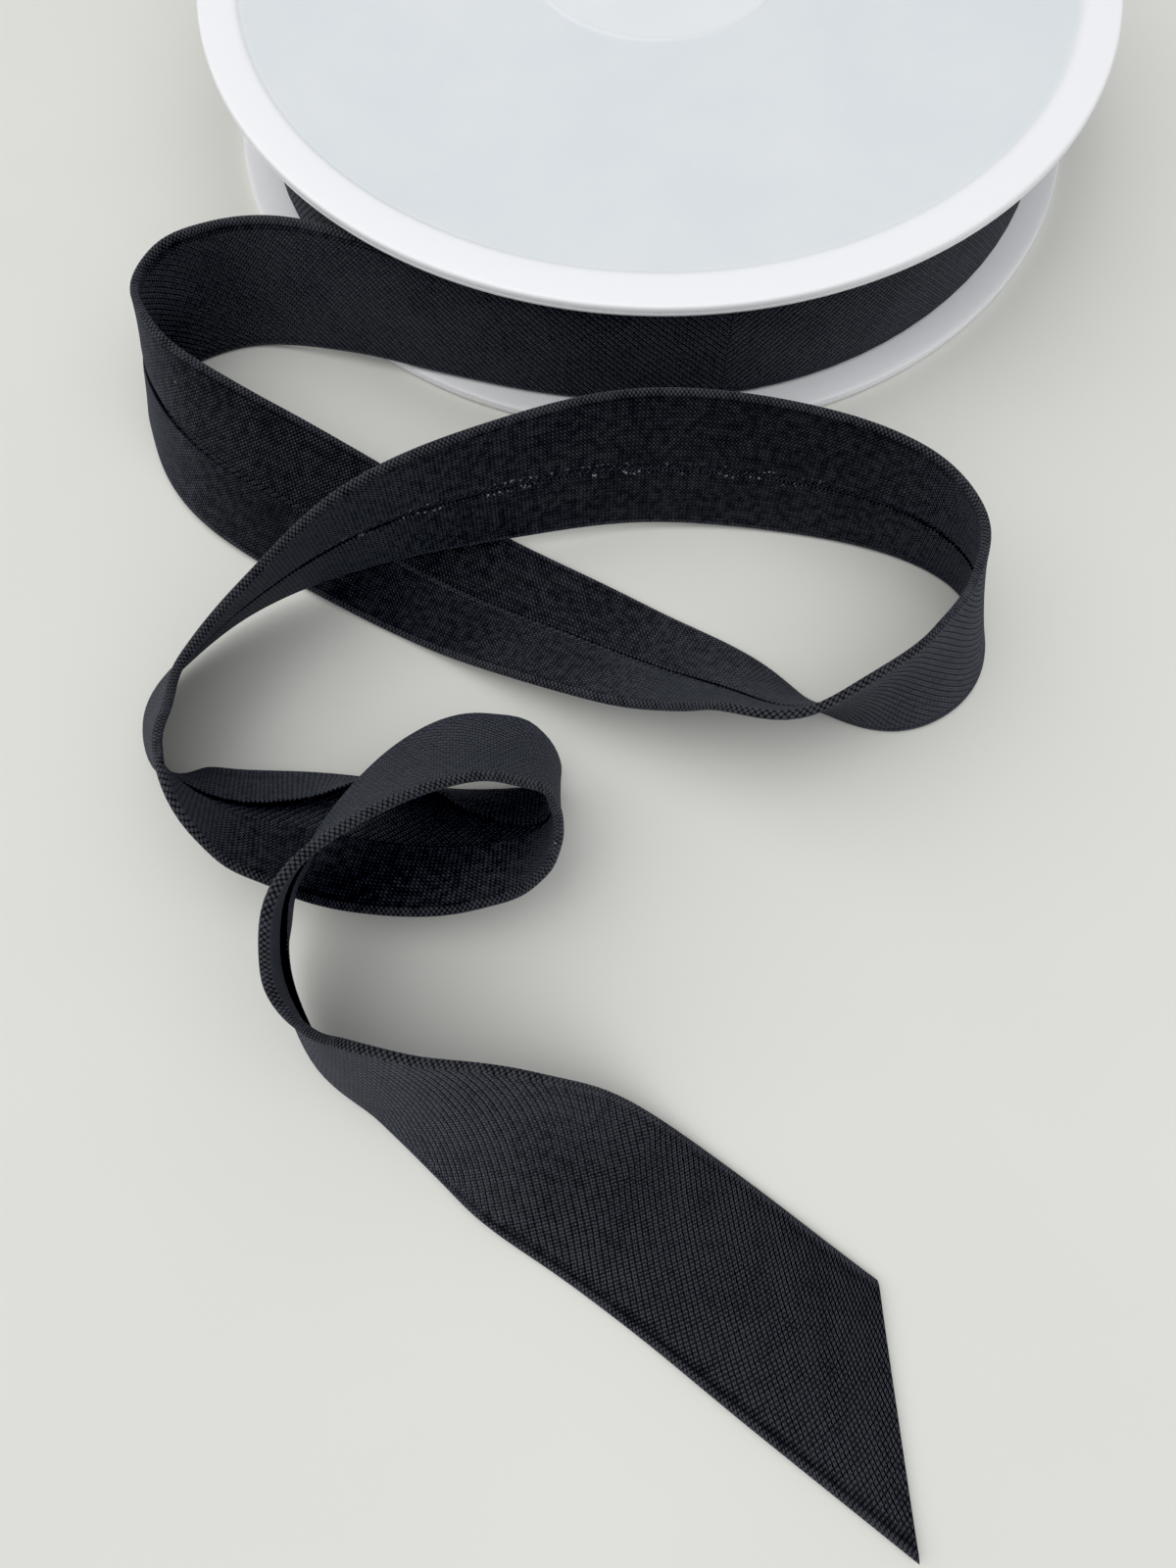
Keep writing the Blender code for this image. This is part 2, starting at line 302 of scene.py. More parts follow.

# The weave, and distances on the flat cloth: from a fold to the end of its painted
# highlight and to the painted line of shade beside it, from a fold to the ribs, and
# from a cut side at the slit to the end of the painted specks of light through it
THREAD = 0.38 * MM
THREAD_WANDER = 0.25 * MM
WEAVE_DEPTH = 0.16 * MM
FOLD_HIGHLIGHT = (0.5 * MM, 0.9 * MM)
SHADE_LINE_AT = 1.05 * MM
SHADE_LINE_REACH = 0.3 * MM
RIBS_FROM_FOLD = (1.5 * MM, 0.7 * MM)
SLIT_LIGHT_REACH = (0.35 * MM, 0.6 * MM)

# Stretches of the loose end, by distance from the roll, where painted specks of light
# show through the single layer of cloth at the slit
SLIT_LIGHT_STRETCHES = ((50 * MM, 88 * MM), (248 * MM, 326 * MM))
SLIT_LIGHT_FADE = 14 * MM

# Most of a noise's values lie in this range
NOISE_LOW = 0.3
NOISE_HIGH = 0.7


class Nodes:
    """Short calls for building one material's node tree."""

    def __init__(self, name):
        self.material = bpy.data.materials.new(name)
        self.material.use_nodes = True
        self.tree = self.material.node_tree
        self.shader = self.tree.nodes["Principled BSDF"]

    def add(self, kind, **settings):
        node = self.tree.nodes.new(kind)
        for key, value in settings.items():
            setattr(node, key, value)
        return node

    def link(self, source, target):
        if isinstance(source, (int, float, tuple)):
            target.default_value = source
        else:
            self.tree.links.new(source, target)

    def math(self, operation, one, two=0.0, three=0.0):
        node = self.add("ShaderNodeMath", operation=operation)
        for socket, value in zip(node.inputs, (one, two, three)):
            self.link(value, socket)
        return node.outputs[0]

    def remap(self, value, low_in, high_in, low_out=0.0, high_out=1.0):
        node = self.add("ShaderNodeMapRange", interpolation_type="SMOOTHSTEP")
        for socket, item in zip(
                node.inputs, (value, low_in, high_in, low_out, high_out)):
            self.link(item, socket)
        return node.outputs[0]

    def blend(self, share, one, two):
        node = self.add("ShaderNodeMix", data_type="RGBA")
        self.link(share, node.inputs["Factor"])
        self.link(one, node.inputs["A"])
        self.link(two, node.inputs["B"])
        return node.outputs["Result"]

    def noise(self, vector, scale, detail=2.0, roughness=0.5):
        node = self.add("ShaderNodeTexNoise")
        self.link(vector, node.inputs["Vector"])
        node.inputs["Scale"].default_value = scale
        node.inputs["Detail"].default_value = detail
        node.inputs["Roughness"].default_value = roughness
        return node.outputs[0]

    def uneven(self, vector, scale, detail, low=0.0, high=1.0, roughness=0.5):
        """Noise that runs softly from low to high."""
        return self.remap(self.noise(vector, scale, detail, roughness),
                          NOISE_LOW, NOISE_HIGH, low, high)

    def spots(self, vector, scale):
        node = self.add("ShaderNodeTexVoronoi")
        self.link(vector, node.inputs["Vector"])
        node.inputs["Scale"].default_value = scale
        return node.outputs["Distance"], node.outputs["Color"]

    def position(self):
        return self.add("ShaderNodeTexCoord").outputs["Object"]

    def bump(self, height, distance, strength=1.0, below=None):
        node = self.add("ShaderNodeBump")
        node.inputs["Strength"].default_value = strength
        node.inputs["Distance"].default_value = distance
        self.link(height, node.inputs["Height"])
        if below is not None:
            self.link(below, node.inputs["Normal"])
        return node.outputs[0]


def plastic_material(name):
    """White moulded plastic, with painted shade where the thin panel has dark tape
    behind it.
    """
    n = Nodes(name)
    place = n.position()
    split = n.add("ShaderNodeSeparateXYZ")
    n.link(place, split.inputs[0])
    east = n.math("SUBTRACT", split.outputs[0], AXIS.x)
    north = n.math("SUBTRACT", split.outputs[1], AXIS.y)
    radius = n.math("SQRT", n.math("ADD", n.math("MULTIPLY", east, east),
                                   n.math("MULTIPLY", north, north)))
    # painted shade where the dark tape shows through the thin panel
    inside_rim = n.remap(radius, *RIM_BORDER, 1.0, 0.0)
    outside_hub = n.remap(radius, *HUB_BORDER, 0.55, 1.0)
    behind = n.math("MULTIPLY", inside_rim, outside_hub)
    cloudy = n.uneven(place, scale=60.0, detail=4.0, low=0.82, roughness=0.6)
    behind = n.math("MULTIPLY", behind, cloudy)
    colour = n.blend(behind, PLASTIC, PLASTIC_SHADED_BY_TAPE)
    n.link(colour, n.shader.inputs["Base Color"])
    satin = n.uneven(place, scale=900.0, detail=2.0, low=0.34, high=0.46)
    n.link(satin, n.shader.inputs["Roughness"])
    grain = n.bump(n.noise(place, scale=1500.0), distance=0.02 * MM, strength=0.35)
    wavy = n.bump(n.noise(place, scale=45.0), distance=0.12 * MM, strength=0.3,
                  below=grain)
    n.link(wavy, n.shader.inputs["Normal"])
    n.shader.inputs["IOR"].default_value = 1.5
    n.shader.inputs["Subsurface Weight"].default_value = 0.12
    n.shader.inputs["Subsurface Radius"].default_value = PLASTIC_DEPTH
    n.shader.inputs["Subsurface Scale"].default_value = 0.6
    return n.material


def cloth_material(name):
    """Plain weave cut on the bias, from the cloth's own flat coordinates."""
    n = Nodes(name)
    flat = n.add("ShaderNodeUVMap", uv_map="cloth").outputs[0]
    split = n.add("ShaderNodeSeparateXYZ")
    n.link(flat, split.inputs[0])
    along, across = split.outputs[0], split.outputs[1]
    wander = n.noise(flat, scale=220.0)
    bent = n.math("MULTIPLY_ADD", wander, THREAD_WANDER, across)
    per_thread = 1 / (sqrt(2) * THREAD)
    warp = n.math("MULTIPLY", n.math("ADD", along, bent), per_thread)
    weft = n.math("MULTIPLY", n.math("SUBTRACT", along, bent), per_thread)
    odd = n.math("MODULO", n.math("ABSOLUTE", n.math(
        "ADD", n.math("FLOOR", warp), n.math("FLOOR", weft))), 2.0)
    x = n.math("SINE", n.math("MULTIPLY", n.math("FRACT", warp), pi))
    y = n.math("SINE", n.math("MULTIPLY", n.math("FRACT", weft), pi))
    over = n.math("MULTIPLY", x, n.math("MULTIPLY_ADD", y, 0.55, 0.45))
    under = n.math("MULTIPLY", y, n.math("MULTIPLY_ADD", x, 0.55, 0.45))
    swap = n.math("MULTIPLY", n.math("SUBTRACT", under, over), odd)
    thread = n.math("ADD", over, swap)
    slub = n.uneven(flat, scale=900.0, detail=2.0, low=0.7, high=1.15)
    thread = n.math("MULTIPLY", thread, slub)

    # painted light: the threads that run one way darker than those catching the
    # light, a painted highlight along the rounded fold edges, and a painted line of
    # shade beside each of them
    edge_one = n.math("ABSOLUTE", n.math("SUBTRACT", across, FOLD_ONE))
    edge_two = n.math("ABSOLUTE", n.math("SUBTRACT", across, FOLD_TWO))
    nearest = n.math("MINIMUM", edge_one, edge_two)
    fold = n.remap(nearest, *FOLD_HIGHLIGHT, 1.0, 0.0)
    beside = n.math("ABSOLUTE", n.math("SUBTRACT", nearest, SHADE_LINE_AT))
    shade_line = n.remap(beside, 0.0, SHADE_LINE_REACH, 0.7, 1.0)
    one_way = n.math("MULTIPLY", odd, n.math("SUBTRACT", 1.0, fold))
    direction = n.math("MULTIPLY_ADD", one_way, -0.5, 1.25)
    # the thread tops painted lit and the gaps between threads painted in shade
    high = n.math("POWER", thread, 1.8)
    light = n.math("MULTIPLY", n.math("MULTIPLY_ADD", high, 2.8, 0.02), direction)
    cloudy = n.uneven(flat, scale=130.0, detail=3.0, low=0.8, high=1.25)
    light = n.math("MULTIPLY", light, cloudy)
    # painted highlight along the fold edges
    light = n.math("MULTIPLY", light, n.math("MULTIPLY_ADD", fold, 1.1, 1.0))

    # ribs on the outer face with a painted highlight along them, and the face lighter
    # than the folded sides, partly its own paler finish and partly painted light
    from_middle = n.math("ABSOLUTE", n.math("SUBTRACT", across, FLAT_WIDTH / 2))
    half_face = (FOLD_TWO - FOLD_ONE) / 2
    inner, outer = (half_face - distance for distance in RIBS_FROM_FOLD)
    face = n.remap(from_middle, inner, outer, 1.0, 0.0)
    rib = n.math("SINE", n.math("MULTIPLY", n.math(
        "FRACT", n.math("MULTIPLY", weft, 0.5)), pi))
    rib_highlight = n.math("MULTIPLY_ADD", n.math("POWER", rib, 1.5), 1.9, -0.35)
    light = n.math("MULTIPLY", light, n.math("MULTIPLY_ADD", face, rib_highlight, 0.75))
    # painted line of shade beside each fold
    light = n.math("MULTIPLY", light, shade_line)
    shade = n.math("MULTIPLY", light, 0.36)
    colour = n.blend(shade, CLOTH_DEEP, CLOTH_LIT)

    # a few specks of lint, and painted specks of light shining through the single
    # layer of cloth along the slit
    distance, chance = n.spots(flat, scale=210.0)
    near = n.remap(distance, 0.016, 0.03, 1.0, 0.0)
    some = n.add("ShaderNodeSeparateColor")
    n.link(chance, some.inputs[0])
    speck = n.math("MULTIPLY", near, n.math("GREATER_THAN", some.outputs[0], 0.72))
    speck = n.math("MULTIPLY", speck, 0.5)
    to_side = n.math("MINIMUM", across, n.math("SUBTRACT", FLAT_WIDTH, across))
    # painted specks of light through the single layer of cloth at the slit
    end = n.remap(n.spots(flat, scale=1500.0)[0], 0.2, 0.34, 1.0, 0.0)
    worn = 0.0
    for start, stop in SLIT_LIGHT_STRETCHES:
        begun = n.remap(along, start, start + SLIT_LIGHT_FADE)
        worn = n.math("ADD", worn, n.math(
            "MULTIPLY", begun, n.remap(along, stop - SLIT_LIGHT_FADE, stop, 1.0, 0.0)))
    patchy = n.remap(n.noise(flat, scale=90.0), 0.36, 0.6)
    end = n.math("MULTIPLY", end, n.math("MULTIPLY", patchy, worn))
    end = n.math("MULTIPLY", end, n.remap(to_side, *SLIT_LIGHT_REACH, 0.5, 0.0))
    lint_and_slit_light = n.math("MAXIMUM", speck, end)
    colour = n.blend(lint_and_slit_light, colour, LINT_AND_SLIT_LIGHT)
    n.link(colour, n.shader.inputs["Base Color"])
    n.shader.inputs["Roughness"].default_value = 0.7
    n.shader.inputs["Specular IOR Level"].default_value = 0.08
    n.shader.inputs["Sheen Weight"].default_value = 0.22
    n.shader.inputs["Sheen Roughness"].default_value = 0.34
    n.shader.inputs["Sheen Tint"].default_value = CLOTH_SHEEN
    weave = n.bump(thread, WEAVE_DEPTH)
    weave = n.bump(n.math("MULTIPLY", rib, face), WEAVE_DEPTH, below=weave)
    fuzz = n.bump(n.noise(flat, scale=2600.0), distance=0.03 * MM, strength=0.5,
                  below=weave)
    n.link(fuzz, n.shader.inputs["Normal"])
    return n.material


def plain_material(name, colour, roughness, scale, spread):
    """A finish with a little cloudy variation."""
    n = Nodes(name)
    cloudy = n.uneven(n.position(), scale, detail=4.0)
    dark = tuple(part * (1 - spread) for part in colour[:3]) + (1,)
    n.link(n.blend(cloudy, dark, colour), n.shader.inputs["Base Color"])
    n.shader.inputs["Roughness"].default_value = roughness
    grain = n.bump(n.noise(n.position(), scale * 20), 0.03 * MM, strength=0.3)
    n.link(grain, n.shader.inputs["Normal"])
    return n.material


# Spool


def flange_profile(outer, sign):
    """A flange's profile, from the height of its outer face; sign 1 faces up."""

    def height(depth):
        return outer - sign * depth

    inner_face = height(FLANGE_THICKNESS)
    foot = height(FLANGE_THICKNESS - RIM_FOOT_RISE)
    panel = height(PANEL_RECESS)
    hub = height(HUB_RECESS)
    return rounded((
        # the face towards the tape
        Corner(SPINDLE_HOLE_RADIUS, inner_face, 0.2 * MM),
        Corner(FLANGE_RADIUS - RIM_FOOT_CHAMFER, inner_face),
        Corner(FLANGE_RADIUS - RIM_FOOT_STEP, foot, 0.25 * MM),
        # the rim, with a fine groove round it
        Corner(FLANGE_RADIUS, height(RIM_GROOVE_FOOT)),
        Corner(FLANGE_RADIUS - RIM_GROOVE_DEPTH, height(RIM_GROOVE_MIDDLE)),
        Corner(FLANGE_RADIUS, height(RIM_GROOVE_TOP)),
        Corner(FLANGE_RADIUS, height(0), 0.62 * MM),
        # the outer face, with its sunk panel and the hub disc
        Corner(RIM_INNER_RADIUS, height(0), 0.3 * MM),
        Corner(RIM_INNER_RADIUS - STEP_WIDTH, panel, 0.2 * MM),
        Corner(HUB_RADIUS + STEP_WIDTH, panel, 0.2 * MM),
        Corner(HUB_RADIUS, height(HUB_RECESS - HUB_EDGE_RISE), 0.15 * MM),
        Corner(HUB_RADIUS - HUB_STEP_WIDTH, hub),
        Corner(SPINDLE_HOLE_RADIUS, hub, 0.3 * MM),
    ))


def drill(piece, sign):
    """Cuts the small drive holes through a flange."""
    pins = bmesh.new()
    for index in range(DRIVE_HOLES):
        angle = radians(-sign * (DRIVE_HOLE_ANGLE + index * 360 / DRIVE_HOLES))
        pin = bmesh.ops.create_cone(
            pins, cap_ends=True, segments=DRIVE_HOLE_STEPS,
            radius1=DRIVE_HOLE_RADIUS, radius2=DRIVE_HOLE_RADIUS,
            depth=DRIVE_PIN_LENGTH)
        reach = DRIVE_HOLE_PITCH_RADIUS
        bmesh.ops.translate(pins, verts=pin["verts"], vec=(
            AXIS.x + reach * cos(angle), AXIS.y + reach * sin(angle), 0))
    mesh = bpy.data.meshes.new("drive_pins")
    pins.to_mesh(mesh)
    pins.free()
    cutter = bpy.data.objects.new("drive_pins", mesh)
    bpy.context.scene.collection.objects.link(cutter)
    holes = piece.modifiers.new("Drive holes", "BOOLEAN")
    holes.operation = "DIFFERENCE"
    holes.solver = "EXACT"
    holes.object = cutter
    bpy.context.view_layer.update()
    graph = bpy.context.evaluated_depsgraph_get()
    drilled = bpy.data.meshes.new_from_object(piece.evaluated_get(graph))
    piece.modifiers.clear()
    piece.data = drilled
    bpy.data.objects.remove(cutter)
    shade_smooth(drilled, FLANGE_SHARP_ANGLE)


def build_spool(plastic):
    for name, node, outer, sign in (
            ("spool_top", "flange_top", SPOOL_HEIGHT, 1),
            ("spool_bottom", "flange_bottom", 0, -1)):
        mesh = lathe(name, flange_profile(outer, sign), FLANGE_STEPS)
        piece = add_piece(name, mesh, plastic)
        drill(piece, sign)
        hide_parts(node)
    inner = CORE_RADIUS - CORE_WALL
    low_end = FLANGE_THICKNESS
    high_end = SPOOL_HEIGHT - FLANGE_THICKNESS
    profile = rounded((
        Corner(inner, high_end, CORE_EDGE_ROUNDING),
        Corner(CORE_RADIUS, high_end),
        Corner(CORE_RADIUS, low_end),
        Corner(inner, low_end, CORE_EDGE_ROUNDING),
    ))
    mesh = lathe("spool_core", profile, CORE_STEPS)
    core = add_piece("spool_core", mesh, plastic)
    shade_smooth(core.data)
    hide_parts("core")


# Tape: the folded cloth's middle line across the strip


# The line's points on each folded side, round each fold and on the face
Division = namedtuple("Division", "side fold face")
FINE = Division(8, 5, 15)
COARSE = Division(3, 2, 4)


def middle_line(flap=0, first_flap=0, slit=0, parts=FINE):
    """(across, depth) of the cloth's middle from one free edge to the other."""
    fold = (TAPE_THICKNESS - CLOTH_THICKNESS) / 2
    straight = TAPE_WIDTH / 2 - CLOTH_THICKNESS / 2 - fold
    first_tip = SLIT_OFFSET + slit + SLIT_WIDTH / 2
    second_tip = SLIT_OFFSET + slit - SLIT_WIDTH / 2

    def depth_at(across):
        """Layers lie pressed together at the slit and stand apart at a fold."""
        share = min(abs(across) / straight, 1)
        return PRESSED_DEPTH + (fold - PRESSED_DEPTH) * share ** 3

    def side(tip, sign, angle):
        points = []
        for index in range(parts.side):
            share = index / (parts.side - 1)
            across = tip + (sign * straight - tip) * share
            depth = depth_at(across)
            reach = straight - sign * across
            lift = depth - fold
            open_by = radians(angle)
            points.append((
                sign * (straight - reach * cos(open_by) - lift * sin(open_by)),
                fold + lift * cos(open_by) + reach * sin(open_by)))
        return points

    first = side(first_tip, 1, first_flap)
    second = side(second_tip, -1, flap)
    folds = []
    for sign in (1, -1):
        arc = []
        for index in range(1, parts.fold + 1):
            angle = pi / 2 - pi * index / (parts.fold + 1)
            arc.append((sign * (straight + fold * cos(angle)), fold * sin(angle)))
        folds.append(arc)
    face = []
    for index in range(parts.face):
        across = straight - 2 * straight * index / (parts.face - 1)
        face.append((across, -depth_at(across)))
    return first + folds[0] + face + folds[1][::-1] + second[::-1]


def arc_lengths(points):
    """The distance of each point from the first, along the line."""
    total = [0]
    for one, two in zip(points, points[1:]):
        total.append(total[-1] + (Vector(two) - Vector(one)).length)
    return total


def thick_section(line):
    """The closed ring round the middle line: one surface, then the other."""
    count = len(line)
    half = CLOTH_THICKNESS / 2
    outside = []
    inside = []
    for index, point in enumerate(line):
        before = Vector(line[max(index - 1, 0)])
        after = Vector(line[min(index + 1, count - 1)])
        run = (after - before).normalized()
        normal = Vector((run.y, -run.x))
        shrink = FREE_EDGE_SHARE if index in (0, count - 1) else 1
        outside.append(Vector(point) - normal * half * shrink)
        inside.append(Vector(point) + normal * half * shrink)
    return outside + inside[::-1]


# The unfolded cloth: how far each point of the line is from its free edge
FLAT = arc_lengths(middle_line())
FLAT_WIDTH = FLAT[-1]
FOLD_MIDDLE = (FINE.fold + 1) // 2
FOLD_ONE = FLAT[FINE.side - 1 + FOLD_MIDDLE]
FOLD_TWO = FLAT[FINE.side + FINE.fold + FINE.face - 1 + FOLD_MIDDLE]


def softened(value):
    """The size of a value between -1 and 1, without a kink at zero."""
    most = sqrt(1 + EDGE_SOFTNESS ** 2) - EDGE_SOFTNESS
    return (sqrt(value ** 2 + EDGE_SOFTNESS ** 2) - EDGE_SOFTNESS) / most


def middle_height(row):
    """The height of the strip's middle, which the lean gives where it rests."""
    if row.height is not RESTS:
        return row.height * MM
    standing = TAPE_WIDTH / 2 * softened(cos(radians(row.lean)))
    lying = TAPE_THICKNESS / 2 * abs(sin(radians(row.lean)))
    return standing + lying


class TapePath:
    """The path sampled finely, smoothed, and read by distance along it."""

    def __init__(self, rows):
        values = np.array([
            (row.x * MM, row.y * MM, middle_height(row), row.lean, row.flap,
             row.first_flap, row.slit * MM, row.ahead * MM) for row in rows])
        steps = np.linalg.norm(np.diff(values[:, :3], axis=0), axis=1)
        marks = np.concatenate([[0], np.cumsum(steps)])
        slopes = np.empty_like(values)
        slopes[1:-1] = (values[2:] - values[:-2]) / (marks[2:] - marks[:-2])[:, None]
        slopes[0] = (values[1] - values[0]) / (marks[1] - marks[0])
        slopes[-1] = (values[-1] - values[-2]) / (marks[-1] - marks[-2])
        places = np.linspace(0, marks[-1], int(marks[-1] / FINE_STEP) + 1)
        index = np.clip(np.searchsorted(marks, places) - 1, 0, len(rows) - 2)
        span = (marks[index + 1] - marks[index])[:, None]
        t = ((places - marks[index]) / span[:, 0])[:, None]
        fine = ((1 + 2 * t) * (1 - t) ** 2 * values[index]
                + t * (1 - t) ** 2 * span * slopes[index]
                + t * t * (3 - 2 * t) * values[index + 1]
                + t * t * (t - 1) * span * slopes[index + 1])
        fine = smoothed(fine, PATH_SMOOTHING / FINE_STEP)
        steps = np.linalg.norm(np.diff(fine[:, :3], axis=0), axis=1)
        self.marks = np.concatenate([[0], np.cumsum(steps)])
        self.values = fine
        self.length = self.marks[-1]

    def at(self, distance):
        """The row at a distance from the roll, with its lengths in metres."""
        distance = np.clip(distance, 0, self.length)
        return Row(*(np.interp(distance, self.marks, column)
                     for column in self.values.T))

    def frame(self, distance):
        """Middle, slope to the first edge, and direction to the back."""
        here = self.at(distance)
        ahead = self.at(distance + TRAVEL_REACH)
        behind = self.at(distance - TRAVEL_REACH)
        travel = Vector(np.subtract(ahead[:3], behind[:3])).normalized()
        left = Vector((0, 0, 1)).cross(travel).normalized()
        upright = travel.cross(left)
        lean = radians(here.lean)
        edge = upright * cos(lean) + left * sin(lean)
        slanted = edge + travel * (here.ahead / TAPE_WIDTH)
        return Vector(here[:3]), slanted, edge.cross(travel)


def smoothed(values, spread):
    """Rows averaged with their neighbours, with both ends held in place."""
    reach = int(spread * 3)
    weights = np.exp(-0.5 * (np.arange(-reach, reach + 1) / spread) ** 2)
    weights /= weights.sum()
    before = 2 * values[:1] - values[1:reach + 1][::-1]
    after = 2 * values[-1:] - values[-reach - 1:-1][::-1]
    padded = np.concatenate([before, values, after])
    return np.stack([np.convolve(column, weights, "valid") for column in padded.T],
                    axis=1)


def ripple(distance, across):
    """Small waves that the folded edges take, in metres across the strip's face."""
    short = sin(distance / SHORT_WAVE + SHORT_WAVE_SHIFT)
    waves = sin(distance / LONG_WAVE) + SHORT_WAVE_SHARE * short
    edge = (abs(across) / (TAPE_WIDTH / 2)) ** 4
    return RIPPLE_HEIGHT * waves * edge


def strip_rings(path, count):
    """One ring of points at each station, slanting together at the cut end.

    Where a ring would reach into the table, it and its neighbours are lifted.
    """
    rings = []
    for station in range(count + 1):
        distance = path.length * station / count
        near_end = max(0, 1 - (path.length - distance) / CUT_BLEND)
        here = path.at(distance)
        line = middle_line(here.flap, here.first_flap, here.slit)
        ring = []
        for across, depth in thick_section(line):
            short_by = (across + TAPE_WIDTH / 2) * tan(radians(CUT_SLANT)) * near_end
            place = distance - short_by
            middle, edge, back = path.frame(place)
            sway = ripple(place, across)
            ring.append(AXIS + middle + edge * across + back * (depth + sway))
        rings.append(ring)
    sunk = np.array([[min(min(point.z for point in ring), 0)] for ring in rings])
    lowest = np.array([sunk[max(i - LIFT_SPREAD, 0):i + LIFT_SPREAD + 1].min(axis=0)
                       for i in range(len(sunk))])
    lifts = smoothed(-lowest, LIFT_SPREAD / 2)
    for ring, lift in zip(rings, lifts):
        for point in ring:
            point.z += lift[0]
    return rings


def strip_mesh(name, rings, distances, flat):
    """Joins the rings and gives each corner its place on the flat cloth."""
    size = len(rings[0])
    flat_round = list(flat) + list(flat)[::-1]
    vertices = [point for ring in rings for point in ring]
    faces = []
    corners = []
    for station in range(len(rings) - 1):
        for index in range(size):
            beside = (index + 1) % size
            here, there = station * size, (station + 1) * size
            faces.append((here + index, here + beside, there + beside, there + index))
            for step, column in ((0, index), (0, beside), (1, beside), (1, index)):
                corners.append((distances[station + step], flat_round[column]))
    half = size // 2
    last = (len(rings) - 1) * size
    for start, place in ((0, distances[0]), (last, distances[-1])):
        for index in range(half - 1):
            quad = [index, index + 1, size - 2 - index, size - 1 - index]
            if start:
                quad.reverse()
            faces.append(tuple(start + corner for corner in reversed(quad)))
            corners.extend((place, flat_round[corner]) for corner in reversed(quad))
    mesh = bpy.data.meshes.new(name)
    mesh.from_pydata(vertices, [], faces)
    layer = mesh.uv_layers.new(name="cloth")
    layer.data.foreach_set("uv", np.array(corners, np.float32).ravel())
    turn_outwards(mesh)
    shade_smooth(mesh, CLOTH_SHARP_ANGLE)
    return mesh


def build_loose_end(cloth):
    path = TapePath(PATH)
    count = round(path.length / STATION_SPACING)
    rings = strip_rings(path, count)
    distances = [path.length * station / count for station in range(count + 1)]
    mesh = strip_mesh("tape_end", rings, distances, FLAT)
    piece = add_piece("tape_end", mesh, cloth)
    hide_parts("tape_loose_end")


def build_turns(cloth):
    """The wound tape: one folded strip in a spiral from the core outwards."""
    turns = round((ROLL_LAST_TURN_RADIUS - ROLL_INNER_RADIUS) / TAPE_THICKNESS)
    count = turns * TURN_STEPS
    line = middle_line(parts=COARSE)
    flat = arc_lengths(line)
    section = thick_section(line)
    rings = []
    distances = []
    run = 0
    for station in range(count + 1):
        share = station / count
        outside = ROLL_INNER_RADIUS + TAPE_THICKNESS / 2 + share * (
            ROLL_LAST_TURN_RADIUS - ROLL_INNER_RADIUS - TAPE_THICKNESS)
        angle = radians(LEAVING_ANGLE) + 2 * pi * (turns - share * turns)
        out = Vector((cos(angle), sin(angle), 0))
        middle = AXIS + out * outside + Vector((0, 0, SPOOL_HEIGHT / 2))
        ring = []
        for across, depth in section:
            ring.append(middle + Vector((0, 0, across)) - out * depth * WOUND_SHARE)
        rings.append(ring)
        distances.append(run)
        run += 2 * pi * outside / TURN_STEPS
    mesh = strip_mesh("tape_turns", rings, distances, flat)
    piece = add_piece("tape_turns", mesh, cloth)
    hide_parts("tape_roll")


# Stage, light and camera


TABLE_REACH = 1.6
TABLE_COLOUR = (0.74, 0.735, 0.685, 1)
SKY_COLOUR = (0.93, 0.97, 1.0, 1)
SKY_STRENGTH = 0.34

# towards is the direction that a light comes from, spread is in degrees
Light = namedtuple("Light", "name towards spread power colour")
LIGHTS = (
    Light("window", (-0.7, 0.05, 1.0), 75, 1.22, (1, 0.995, 0.98)),
    Light("ceiling", (0.3, -0.35, 1.0), 80, 1.28, (0.97, 0.98, 1)),
)

# The camera's place and turn, worked out from the flange's circles in the photo
CAMERA_FROM_AXIS = Vector((13.82, -169.74, 131.08)) * MM
PITCH = 1.21398
YAW = -0.158763
ROLL = -0.0259887
SENSOR = 36
LENS = 25.1
CLIP_START = 5 * MM
BLACK_LEVEL = (0.006, 0.006, 0.0055)


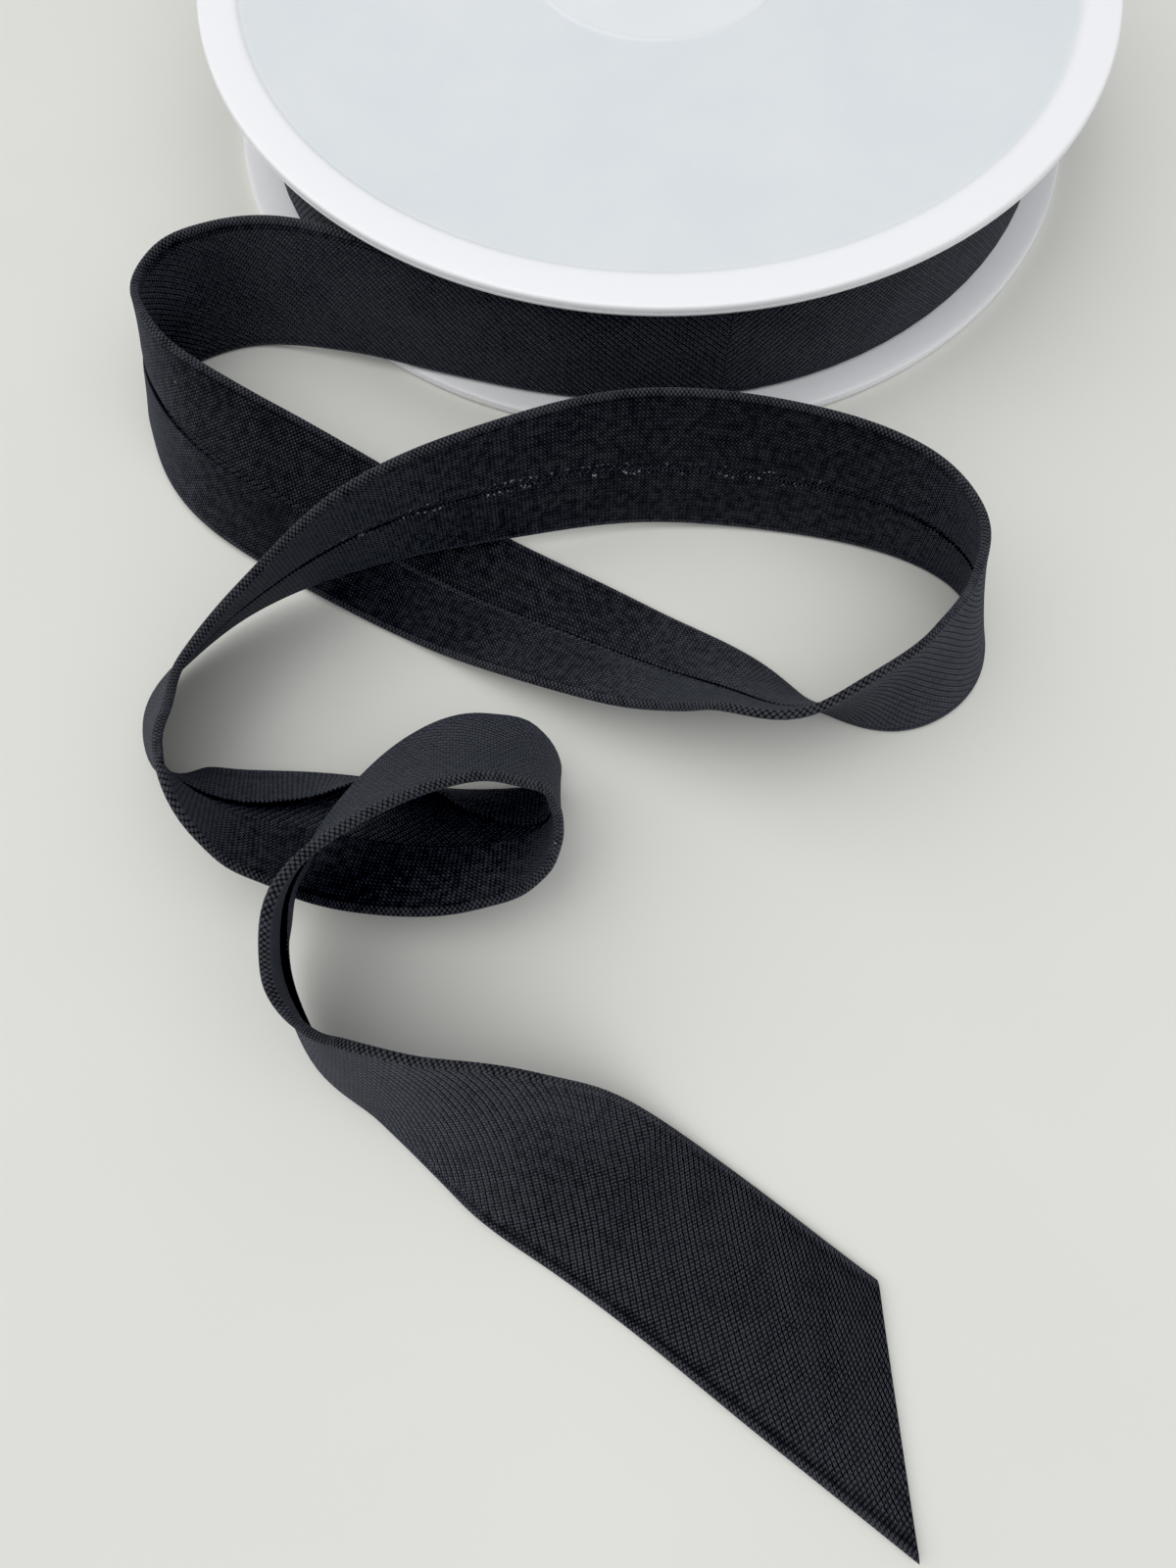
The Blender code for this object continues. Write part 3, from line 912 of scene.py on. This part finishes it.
def build_stage():
    mesh = bpy.data.meshes.new("table")
    reach = TABLE_REACH
    mesh.from_pydata(
        [(-reach, -reach, 0), (reach, -reach, 0), (reach, reach, 0),
         (-reach, reach, 0)], [], [(0, 1, 2, 3)])
    table = bpy.data.objects.new("table", mesh)
    bpy.context.scene.collection.objects.link(table)
    mesh.materials.append(plain_material(
        "table", TABLE_COLOUR, roughness=0.55, scale=14.0, spread=0.03))


def add_light(row):
    """A distant soft light."""
    light = bpy.data.lights.new(row.name, "SUN")
    light.angle = radians(row.spread)
    light.energy = row.power
    light.color = row.colour
    item = bpy.data.objects.new(row.name, light)
    item.rotation_euler = Vector(row.towards).to_track_quat("Z", "Y").to_euler()
    bpy.context.scene.collection.objects.link(item)


def build_light():
    world = bpy.context.scene.world or bpy.data.worlds.new("World")
    bpy.context.scene.world = world
    world.use_nodes = True
    background = world.node_tree.nodes["Background"]
    background.inputs["Color"].default_value = SKY_COLOUR
    background.inputs["Strength"].default_value = SKY_STRENGTH
    for row in LIGHTS:
        add_light(row)


def build_view():
    settings = bpy.context.scene.view_settings
    settings.view_transform = "Standard"
    settings.look = "None"
    settings.use_curve_mapping = True
    settings.curve_mapping.black_level = BLACK_LEVEL


def build_camera():
    forward = Vector((sin(YAW) * cos(PITCH), cos(YAW) * cos(PITCH), -sin(PITCH)))
    right = Vector((cos(YAW), -sin(YAW), 0))
    up = right.cross(forward)
    x = right * cos(ROLL) + up * sin(ROLL)
    y = up * cos(ROLL) - right * sin(ROLL)
    camera = bpy.data.cameras.new("camera")
    camera.sensor_width = SENSOR
    camera.sensor_fit = "AUTO"
    camera.lens = LENS
    camera.clip_start = CLIP_START
    item = bpy.data.objects.new("camera", camera)
    turned = Matrix((x, y, -forward)).transposed().to_4x4()
    item.matrix_world = Matrix.Translation(AXIS + CAMERA_FROM_AXIS) @ turned
    bpy.context.scene.collection.objects.link(item)
    bpy.context.scene.camera = item


def main():
    build_camera()
    build_view()
    build_light()
    build_stage()
    plastic = plastic_material("spool_plastic")
    cloth = cloth_material("tape_cloth")
    build_spool(plastic)
    build_turns(cloth)
    build_loose_end(cloth)


main()
